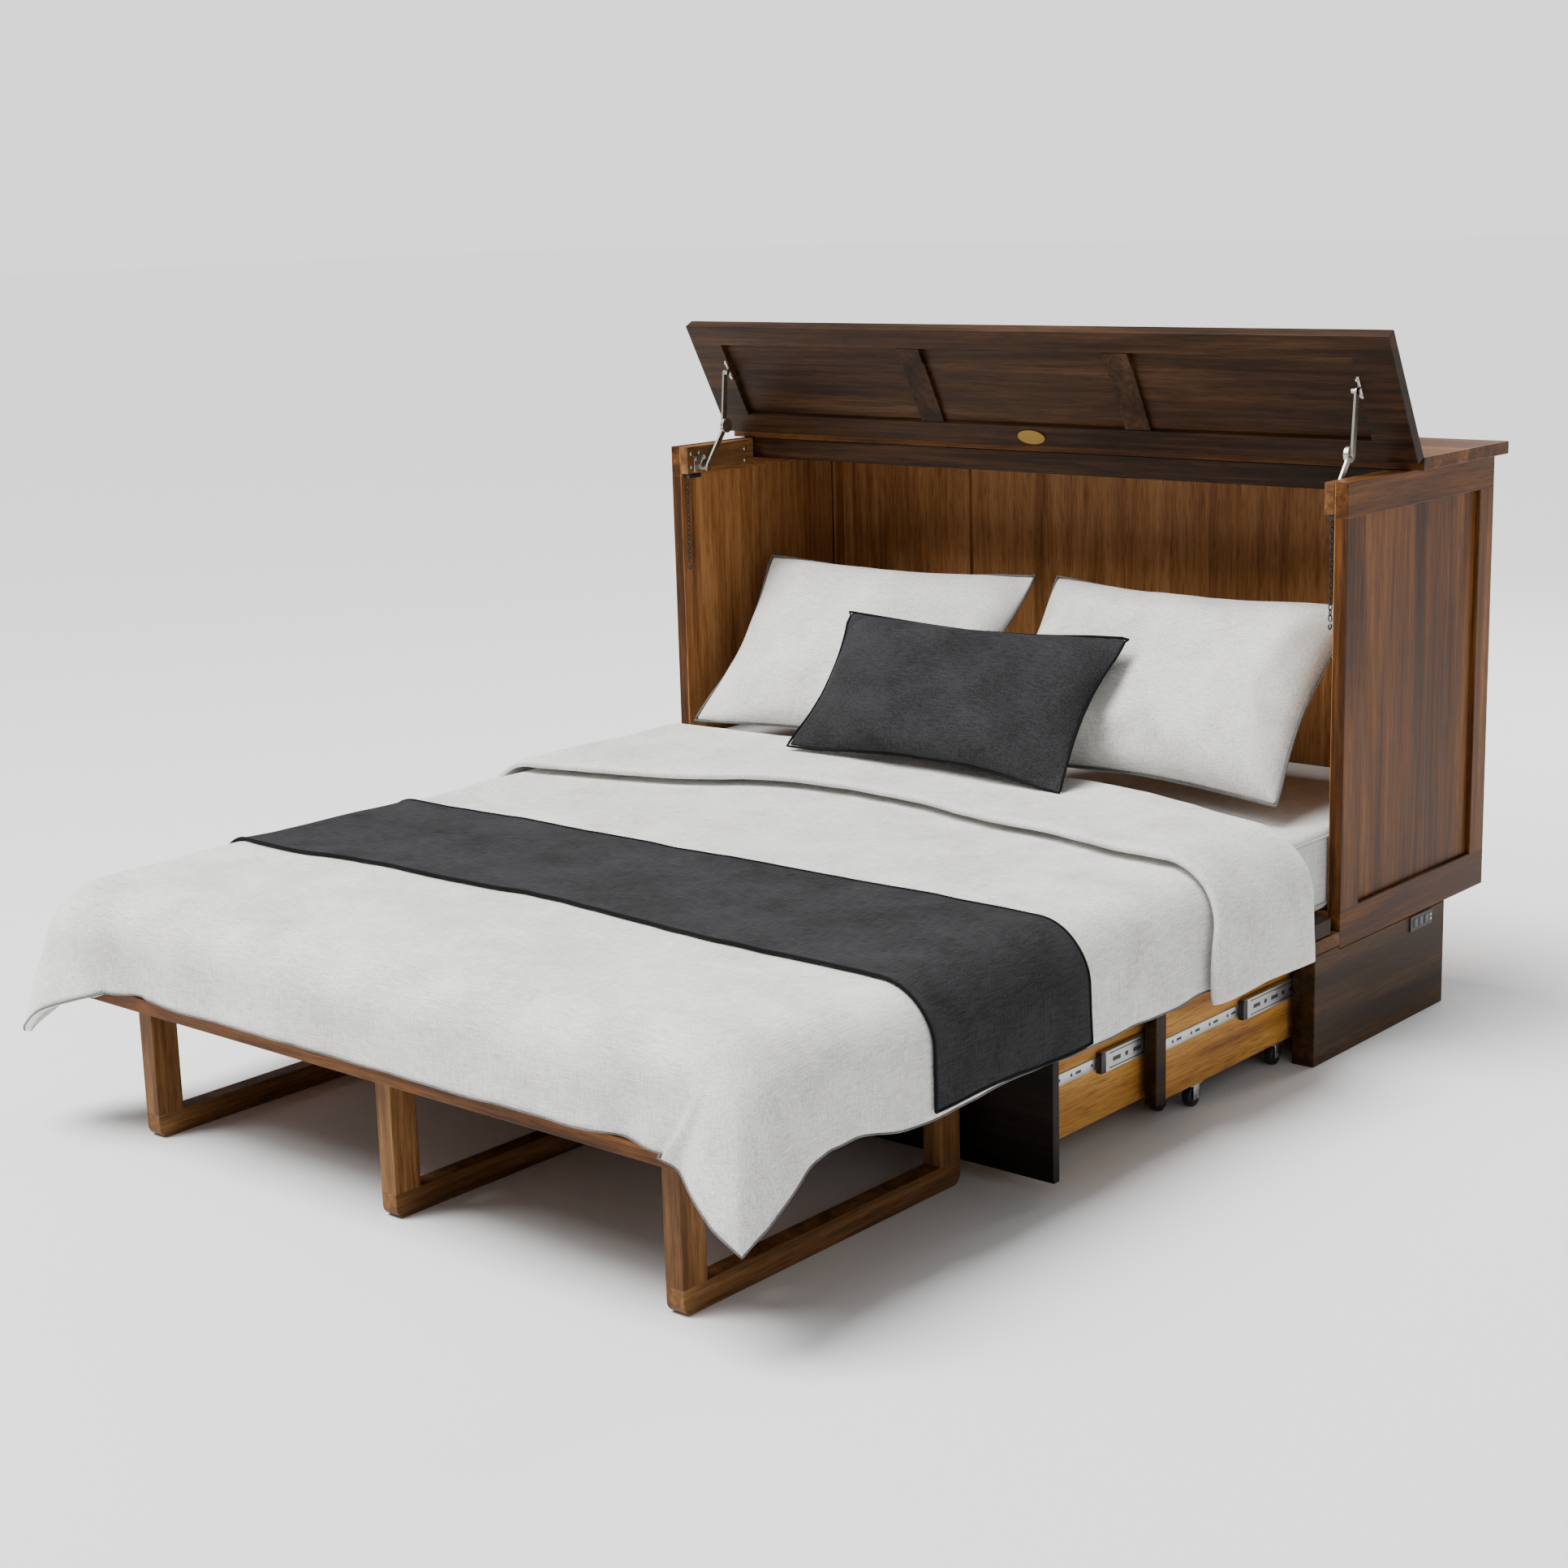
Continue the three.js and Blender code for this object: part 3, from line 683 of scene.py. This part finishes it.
def make_duvet(material, seam_material):
    upper = grid_sheet("duvet_upper_cover", 190, 76, place_duvet(duvet_head, lambda u: SPLIT), material)
    foot = grid_sheet("duvet_foot_cover", 190, 84, place_duvet(lambda u: SPLIT, foot_hem), material)
    band = grid_sheet("duvet_turndown", 190, 52, place_turndown, material)
    hems = {"upper": hem_seam("duvet_hem_upper", duvet_head, lambda u: SPLIT, False, seam_material),
            "foot": hem_seam("duvet_hem_foot", lambda u: SPLIT, foot_hem, True, seam_material)}
    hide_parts("duvet_upper")
    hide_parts("duvet_foot")
    for piece, thickness in ((upper, DUVET_THICK), (foot, DUVET_THICK), (band, BAND_THICK)):
        thicken(piece, thickness)
    fold(upper)
    fold(band)
    fold(hems["upper"])
    fold(foot)
    fold(hems["foot"])


def hem_seam(name, head, foot, with_foot, material):
    """The fine piped seam along the duvet's hem."""
    place = place_duvet(head, foot)
    right = [place(1, i / HEM_STEPS) for i in range(HEM_STEPS + 1)]
    left = [place(0, i / HEM_STEPS) for i in range(HEM_STEPS + 1)]
    bm = bmesh.new()
    if with_foot:
        bottom = [place(1 - i / (2 * HEM_STEPS), 1) for i in range(1, 2 * HEM_STEPS)]
        add_tube(bm, right + bottom + list(reversed(left)), HEM_RADIUS)
    else:
        add_tube(bm, right, HEM_RADIUS)
        add_tube(bm, left, HEM_RADIUS)
    seam = to_object(name, bm, material)
    return seam


def fold(piece, body="front_panel"):
    """Fixes a soft piece to a body of the bed, front_panel unless told otherwise, and gives it a mesh
    of its own.
    """
    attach(piece, body)
    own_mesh(piece)


THROW_HALF = FLAT_X + 232
THROW_HEAD = -1378
THROW_FOOT = -1772
THROW_LIFT = 6.5
THROW_THICK = 3.5
THROW_HEM_RADIUS = 2.4


def make_throw(material, seam_material):
    def place(across, down):
        u = (2 * across - 1) * (THROW_HALF + wave(down * 300, 1, 1, 140) * 6)
        head = THROW_HEAD + wave(u, 600, 0, 300) * 9
        foot = THROW_FOOT + wave(u, 800, 0, 260) * 14 + 26 * (1 - smooth_step(0, 500, abs(u)))
        return drape(u, head + (foot - head) * down, THROW_LIFT)
    throw = grid_sheet("throw_runner", 200, 44, place, material)
    bm = bmesh.new()
    for down in (0, 1):
        add_tube(bm, [place(i / 220, down) for i in range(221)], THROW_HEM_RADIUS)
    for across in (0, 1):
        add_tube(bm, [place(across, i / 40) for i in range(41)], THROW_HEM_RADIUS)
    hem = to_object("throw_hem", bm, seam_material)
    thicken(throw, THROW_THICK)
    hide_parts("throw_blanket")
    fold(throw)
    fold(hem)


# ---- mattress ----
MATTRESS_HALF = 760
MATTRESS_LOW, MATTRESS_TOP = 264, 414
MATTRESS_ROUND = 16
MATTRESS_PIPING = 3


def make_mattress(name, node, near, far, body, materials):
    bm = bmesh.new()
    add_box(bm, (-MATTRESS_HALF, far, MATTRESS_LOW), (MATTRESS_HALF, near, MATTRESS_TOP), 0)
    bmesh.ops.bevel(bm, geom=list(bm.edges), offset=MATTRESS_ROUND * MM, segments=4,
                    affect="EDGES", profile=0.5)
    block = to_object(name, bm, materials["mattress"])
    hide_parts(node)
    bm = bmesh.new()
    for z in (MATTRESS_TOP - 14, MATTRESS_LOW + 14):
        loop = rounded_loop(MATTRESS_HALF + 0.5, near + 0.5, far - 0.5, z, MATTRESS_ROUND)
        add_tube(bm, loop, MATTRESS_PIPING)
    piping = to_object(name + "_piping", bm, materials["piping"])
    for piece in (block, piping):
        fold(piece, body)


def rounded_loop(half, near, far, z, radius):
    """Points round a level rectangle with rounded corners, back to the first one."""
    points = []
    centres = [(half - radius, near - radius, 0), (-half + radius, near - radius, 90),
               (-half + radius, far + radius, 180), (half - radius, far + radius, 270)]
    for x, y, start in centres:
        for i in range(5):
            angle = math.radians(start + 90 * i / 4)
            points.append(at(x + radius * math.cos(angle), y + radius * math.sin(angle), z))
    return points + [points[0]]


# ---- pillows ----
PILLOW_COLUMNS, PILLOW_ROWS = 58, 38
PILLOW_LEAN = 41  # degrees back from upright
PILLOW_PIPING = 2.6
SLACK = 0.86  # a cover starts this much thinner than it is when filled
PRESSURE = 4.0
FILL_FRAMES = 20
FILL_LIMIT = 16  # how far a point may move as the cover fills


def pillow_point(across, up, width, height, thick, face, seed):
    """A point of the pillow's front (1) or back (-1) cover, in the pillow's own plane."""
    s, t = 2 * across - 1, 2 * up - 1
    pull_x = 1 - 0.055 * (1 - t * t) ** 1.5 * abs(s) ** 3
    pull_y = 1 - 0.075 * (1 - s * s) ** 1.5 * abs(t) ** 3
    crown = ((1 - s ** 4) * (1 - t ** 4)) ** 0.62
    crease = wave(s * 300 + t * 120, t * 260, seed * 77, 90) * 9
    crease += wave(s * 500, t * 400, seed * 31, 210) * 14
    crease += wave(s * 340 - t * 90, t * 120, seed * 13, 46) * 4
    rise = crown * (thick / 2 + crease * (1 - 0.4 * crown))
    return Vector((s * width / 2 * pull_x, -face * rise, t * height / 2 * pull_y)) * MM


def pillow_cover(name, size, seed, material):
    """A closed cover of two crowned faces that meet in a sewn edge."""
    width, height, thick = size
    bm = bmesh.new()
    for face in (1, -1):
        layer = []
        for i in range(PILLOW_ROWS):
            line = []
            for j in range(PILLOW_COLUMNS):
                across, up = j / (PILLOW_COLUMNS - 1), i / (PILLOW_ROWS - 1)
                point = pillow_point(across, up, width, height, thick * SLACK, face, seed)
                line.append(bm.verts.new(point))
            layer.append(line)
        for i in range(PILLOW_ROWS - 1):
            for j in range(PILLOW_COLUMNS - 1):
                bm.faces.new((layer[i][j], layer[i][j + 1], layer[i + 1][j + 1], layer[i + 1][j]))
    bmesh.ops.remove_doubles(bm, verts=bm.verts, dist=0.0002)
    return to_object(name, bm, material)


def make_pillow(name, node, size, place, turn, seed, materials, slots):
    cover = pillow_cover(name, size, seed, materials[0])
    rim = rim_vertices(cover, size, seed)
    inflate(cover)
    bm = bmesh.new()
    add_tube(bm, [cover.data.vertices[index].co.copy() for index in rim], PILLOW_PIPING, closed=True)
    cover.modifiers.new("finer", "SUBSURF").levels = 1
    apply_modifiers(cover)
    piping = to_object(name + "_piping", bm, materials[1])
    pose = Matrix.Translation(at(*place)) @ Matrix.Rotation(math.radians(turn), 4, "Z")
    pose = pose @ Matrix.Rotation(math.radians(-PILLOW_LEAN), 4, "X")
    for piece, slot_name in zip((cover, piping), slots):
        piece.data.transform(pose)
        fold(piece, "cabinet")
    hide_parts(node)


def rim_vertices(cover, size, seed):
    """The cover's vertices along its sewn edge, in order."""
    width, height, thick = size
    tree = KDTree(len(cover.data.vertices))
    for vert in cover.data.vertices:
        tree.insert(vert.co, vert.index)
    tree.balance()
    across, up = PILLOW_COLUMNS - 1, PILLOW_ROWS - 1
    steps = [(j / across, 0) for j in range(across)] + [(1, i / up) for i in range(up)]
    steps += [(1 - j / across, 1) for j in range(across)] + [(0, 1 - i / up) for i in range(up)]
    return [tree.find(pillow_point(a, b, width, height, thick, 1, seed))[1] for a, b in steps]


def inflate(piece):
    """Blows the piece up a little as cloth, holds each point near its start, and keeps that."""
    start = [vert.co.copy() for vert in piece.data.vertices]
    cloth = piece.modifiers.new("cloth", "CLOTH")
    cloth.settings.use_pressure = True
    cloth.settings.uniform_pressure_force = PRESSURE
    cloth.settings.effector_weights.gravity = 0
    cloth.settings.mass = 0.3
    cloth.settings.tension_stiffness = 25
    cloth.settings.compression_stiffness = 25
    cloth.settings.bending_stiffness = 0.4
    cloth.point_cache.frame_start = 1
    cloth.point_cache.frame_end = FILL_FRAMES
    scene = bpy.context.scene
    for number in range(1, FILL_FRAMES + 1):
        scene.frame_set(number)
    graph = bpy.context.evaluated_depsgraph_get()
    mesh = bpy.data.meshes.new_from_object(piece.evaluated_get(graph))
    piece.modifiers.clear()
    for vert, origin in zip(mesh.vertices, start):
        move = vert.co - origin
        if move.length > FILL_LIMIT * MM:
            vert.co = origin + move.normalized() * FILL_LIMIT * MM
    piece.data = mesh
    scene.frame_set(1)


def make_pillows(materials):
    linen = (materials["linen"], materials["seam"])
    charcoal = (materials["charcoal"], materials["black_seam"])
    light_slots = ("grey_linen", "charcoal_weave")
    dark_slots = ("charcoal_weave", "charcoal_weave")
    make_pillow("sleeping_pillow_left", "pillow_left", (690, 450, 172), (-369, -458, 617), 1.5, 1,
                linen, light_slots)
    make_pillow("sleeping_pillow_right", "pillow_right", (700, 450, 172), (352, -458, 617), -1, 2,
                linen, light_slots)
    make_pillow("cushion_lumbar", "lumbar_cushion", (680, 345, 128), (0, -640, 592), 0, 3,
                charcoal, dark_slots)


# ---- small fittings ----
CHAIN = {"x": 757, "y": -549, "top": 953, "links": 18, "pitch": 9.6}
LINK_TALL, LINK_WIDE, LINK_WIRE = 6.2, 3.1, 1.1
HOOK_HEIGHT, HOOK_RADIUS, HOOK_WIRE = 775, 5, 1.4
CLEAT_FACE = 746
CLEAT_SCREWS = ((-545, 1013), (-545, 985), (-520, 1013), (-376, 1009), (-376, 985))  # Y and Z


def add_link(bm, x, z, edge_on):
    """One oval link of the chain, seen from its flat side or edge-on."""
    points = []
    for k in range(14):
        angle = 2 * math.pi * k / 14
        wide = LINK_WIDE * math.cos(angle)
        dx, dy = (wide, 0) if edge_on else (0, wide)
        points.append(at(x + dx, CHAIN["y"] + dy, z + LINK_TALL * math.sin(angle)))
    add_tube(bm, points, LINK_WIRE, closed=True, sides=6)


def make_chains(metal_black):
    for label, side in SIDES:
        x = side * CHAIN["x"]
        bm = bmesh.new()
        for index in range(CHAIN["links"]):
            add_link(bm, x, CHAIN["top"] - index * CHAIN["pitch"], index % 2 == 1)
        angles = [math.radians(degrees) for degrees in range(-150, 151, 25)]
        hook = []
        for a in angles:
            dy, dz = HOOK_RADIUS * math.sin(a), -HOOK_RADIUS * math.cos(a)
            hook.append(at(x, CHAIN["y"] + dy, HOOK_HEIGHT + dz))
        add_tube(bm, hook, HOOK_WIRE, sides=6)
        chain = fitting(f"safety_chain_{label}", bm, metal_black, f"chain_{label}")
        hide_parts(f"chain_{label}")
        bm = bmesh.new()
        add_box(bm, *sorted_corner(side, 750, 765.5, -549, -512, 961, 970.6), 1.5)
        fitting(f"chain_bracket_{label}", bm, metal_black, "cabinet")


def make_screws(nickel):
    for label, side in SIDES:
        bm = bmesh.new()
        for y, z in CLEAT_SCREWS:
            face, head = side * CLEAT_FACE, side * (CLEAT_FACE - 1.6)
            add_rod(bm, (face, y, z), (head, y, z), 4.6, 16, 3.4)
        fitting(f"cleat_screws_{label}", bm, nickel, "cabinet")


STAY_LOW = (-511, 980)  # the lower arm's pivot: Y and Z
LID_AXIS = (-332.5, 1048.4)
LID_OPEN = 62.1  # degrees


def lid_place(y, z):
    """From the closed lid's own axes to where that point is with the lid open."""
    angle = math.radians(-LID_OPEN)
    turned = (y * math.cos(angle) - z * math.sin(angle), y * math.sin(angle) + z * math.cos(angle))
    return LID_AXIS[0] + turned[0], LID_AXIS[1] + turned[1]


def make_stay_brackets(nickel):
    """The lid stays' two plates, pivots and screws: on the cleats and under the lid."""
    for label, side in SIDES:
        bm = bmesh.new()
        add_box(bm, *sorted_corner(side, 743, 745.9, -540, -498, 974, 1008), 1)
        add_rod(bm, (side * 744, *STAY_LOW), (side * 729, *STAY_LOW), 5)
        for y, z in ((-533, 1001), (-505, 1001)):
            add_rod(bm, (side * 743.2, y, z), (side * 741.6, y, z), 4, 14, 3)
        fitting(f"stay_bracket_low_{label}", bm, nickel, "cabinet")
        bm = bmesh.new()
        pivot = lid_place(-160, -34.7)
        add_rod(bm, (side * 742, *pivot), (side * 731, *pivot), 5)
        foot_a, foot_b = lid_place(-160, -21), lid_place(-160, -36)
        add_rod(bm, (side * 738.5, *foot_a), (side * 738.5, *foot_b), 4, 12)
        plate_a, plate_b = lid_place(-182, -22.2), lid_place(-138, -22.2)
        add_rod(bm, (side * 739.5, *plate_a), (side * 739.5, *plate_b), 3, 10)
        for y in (-176, -144):
            head_a, head_b = lid_place(y, -21), lid_place(y, -26)
            add_rod(bm, (side * 738.5, *head_a), (side * 738.5, *head_b), 4, 14, 3)
        fitting(f"stay_bracket_lid_{label}", bm, nickel, "lid")


AXLE_HEIGHT = 19
FORK_HALF = 13
CASTERS = {  # X, Y, what it is fixed to, and the height of that body's underside
    "drawer": (690, -989, "drawer", 46),
    "carriage_front": (722, -936, "carriage", 42),
    "carriage_rear": (722, -666, "carriage", 42),
}


def add_fork(bm, x, y, top):
    """A plate under the body, two cheeks and the axle."""
    add_box(bm, (x - FORK_HALF, y - 18, top - 2.6), (x + FORK_HALF, y + 18, top - 0.2))
    for cheek in (-1, 1):
        add_box(bm, *sorted_cheek(x, y, cheek, top))
    add_rod(bm, (x - FORK_HALF, y, AXLE_HEIGHT), (x + FORK_HALF, y, AXLE_HEIGHT), 3.2, 12)


def sorted_cheek(x, y, cheek, top):
    """The two corners of the fork's cheek on one side of its wheel."""
    xs = sorted((x + cheek * 11.5, x + cheek * 9))
    return (xs[0], y - 9, 14), (xs[1], y + 9, top - 2)


def make_casters(steel):
    for label, side in SIDES:
        for name, (x, y, body, top) in CASTERS.items():
            bm = bmesh.new()
            add_fork(bm, side * x, y, top)
            fitting(f"caster_fork_{name}_{label}", bm, steel, body)


MEMBERS = (  # body, inner and outer face, front and rear end, height of the middle
    ("drawer", 707.2, 708.8, -1416, -972, 146),
    ("carriage", 735.2, 736.8, -1044, -622, 139),
)
SLEEVES = (  # body, outer face, front end, height of the middle
    ("base_runners", 746.1, -803, 139),
    ("box_runners", 718.1, -1198, 146),
)
SLEEVE_SLOTS = ((30, 22), (66, 8), (90, 22), (126, 8), (150, 22), (186, 8))  # start and length
SLOT_DEPTH = 0.15  # how far a member's slot marks, painted dark as the shade in the slot openings, stand off its face


def make_runner_members(steel, black):
    """The narrow members fixed to the drawer and the carriage, with their slots, painted black as the
    shade in their openings, and screws.
    """
    for label, side in SIDES:
        for body, near, far, y0, y1, z in MEMBERS:
            bm = bmesh.new()
            add_box(bm, *sorted_corner(side, near, far, y0, y1, z - 10, z + 10), 0.5)
            fitting(f"{body}_member_{label}", bm, steel, body)
            bm = bmesh.new()
            for index in range(7):
                y = y0 + 26 + index * 58
                mark = far + SLOT_DEPTH
                add_rod(bm, (side * far, y, z), (side * mark, y, z), 3.2, 12)
                # painted shade: each slot opening is a flat black mark
                add_box(bm, *sorted_corner(side, far, mark, y + 12, y + 27, z - 2.4, z + 2.4), 0)
            fitting(f"{body}_member_slots_{label}", bm, black, body)


def make_runner_sleeves(black):
    """Slots, painted black as the shade in their openings, and the dark end stop on each moving middle
    runner.
    """
    for label, side in SIDES:
        for body, face, front, z in SLEEVES:
            bm = bmesh.new()
            stop = sorted_corner(side, face - 10, face + 0.9, front - 5, front + 9, z - 17, z + 17)
            add_box(bm, *stop, 1)
            near, far = face - 0.6, face + 0.3
            # painted shade: each slot opening is a flat black mark
            for start, length in SLEEVE_SLOTS:
                y = front + start
                add_box(bm, *sorted_corner(side, near, far, y, y + length, z - 3.5, z + 3.5), 0)
            for line in (z - 12.5, z + 12.5):
                low, high = line - 0.8, line + 0.8
                add_box(bm, *sorted_corner(side, near, far, front + 20, front + 380, low, high), 0)
            fitting(f"{body}_details_{label}", bm, black, body)


OUTLET_FACE = 795.0


def make_outlet(socket_black_and_recess_shade, steel):
    """Three socket faces, near black for their black plastic and as painted shade in their recesses,
    and two charge ports.
    """
    bm = bmesh.new()
    for y in (-276, -256, -234):
        add_box(bm, (OUTLET_FACE, y - 7, 174), (OUTLET_FACE + 0.8, y + 7, 190), 0.4)
    fitting("outlet_sockets", bm, socket_black_and_recess_shade, "cabinet")
    bm = bmesh.new()
    for z in (178, 186):
        add_box(bm, (OUTLET_FACE, -220, z - 2.2), (OUTLET_FACE + 1, -214, z + 2.2), 0.3)
    fitting("outlet_charge_ports", bm, steel, "cabinet")


BRACE_FACE, BRACE_THICK = 586, 14
BRACE_MIDDLE, BRACE_TOP = -1530, 226  # Y of its middle, and the height of its straight edge
BRACE_HALF, BRACE_DROP = 62, 52


def make_leg_hardware(black):
    """A half-round brace and a butt hinge on each outer loop's rear post."""
    for label, side in SIDES:
        bm = bmesh.new()
        outline = []
        for k in range(13):
            angle = math.radians(180 + 180 * k / 12)
            y = BRACE_MIDDLE + BRACE_HALF * math.cos(angle)
            outline.append((y, BRACE_TOP + BRACE_DROP * math.sin(angle)))
        outer = [bm.verts.new(at(side * BRACE_FACE, y, z)) for y, z in outline]
        inner = [bm.verts.new(at(side * (BRACE_FACE - BRACE_THICK), y, z)) for y, z in outline]
        bm.faces.new(outer)
        bm.faces.new(list(reversed(inner)))
        for k in range(len(outer)):
            n = (k + 1) % len(outer)
            bm.faces.new((outer[k], outer[n], inner[n], inner[k]))
        fitting(f"leg_brace_{label}", bm, black, f"leg_{label}")
        bm = bmesh.new()
        add_box(bm, *sorted_corner(side, 585.5, 587.8, -1507, -1462, 190, 232), 0.6)
        add_rod(bm, (side * 586, -1508, 234), (side * 586, -1460, 234), 3, 10)
        fitting(f"leg_hinge_{label}", bm, black, f"leg_{label}")


def make_fittings(finishes):
    make_chains(finishes["black"])
    make_screws(finishes["nickel"])
    make_stay_brackets(finishes["nickel"])
    make_casters(finishes["steel"])
    make_runner_members(finishes["steel"], finishes["black"])
    make_runner_sleeves(finishes["black"])
    make_outlet(finishes["socket_black_and_recess_shade"], finishes["steel"])
    make_leg_hardware(finishes["black"])


FINISHES = {
    "nickel": metal("nickel", (205, 200, 188), 0.3, Y),
    "steel": metal("zinc_steel", (190, 190, 188), 0.34, Y),
    "brass": metal("aged_brass", (150, 118, 62), 0.36, X),
    "black": plastic("black_coated_steel", (20, 20, 21), 0.42),
    "plastic": plastic("black_plastic", (24, 24, 25), 0.48),
    # the socket faces' near black is their own plastic and painted shade for their recesses
    "socket_black_and_recess_shade": plastic("black_socket_and_recess_shade", (12, 12, 12), 0.35),
    "rubber": plastic("black_rubber", (22, 22, 23), 0.6),
    "linen": cloth_material("grey_linen", (182, 180, 175), (238, 237, 233)),
    "charcoal": cloth_material("charcoal_weave", (14, 14, 15), (50, 50, 52), sheen=0.02),
    "seam": cloth_material("seam_grey", (70, 70, 69), (110, 109, 107)),
    "black_seam": cloth_material("seam_black", (5, 5, 5), (12, 12, 13), sheen=0.0),
    "mattress": cloth_material("mattress_knit", (186, 186, 184), (214, 214, 212), 0.6),
    "piping": cloth_material("mattress_piping", (150, 150, 148), (186, 186, 184)),
}

make_camera()
make_stage()
paint_cad(FINISHES)
make_mattress("mattress_head_block", "mattress_main", -94, SPLIT,
              "cabinet", FINISHES)
make_mattress("mattress_foot_block", "mattress_foot", SPLIT - 1, -2125,
              "front_panel", FINISHES)
make_duvet(FINISHES["linen"], FINISHES["seam"])
make_throw(FINISHES["charcoal"], FINISHES["black_seam"])
make_pillows(FINISHES)
make_fittings(FINISHES)
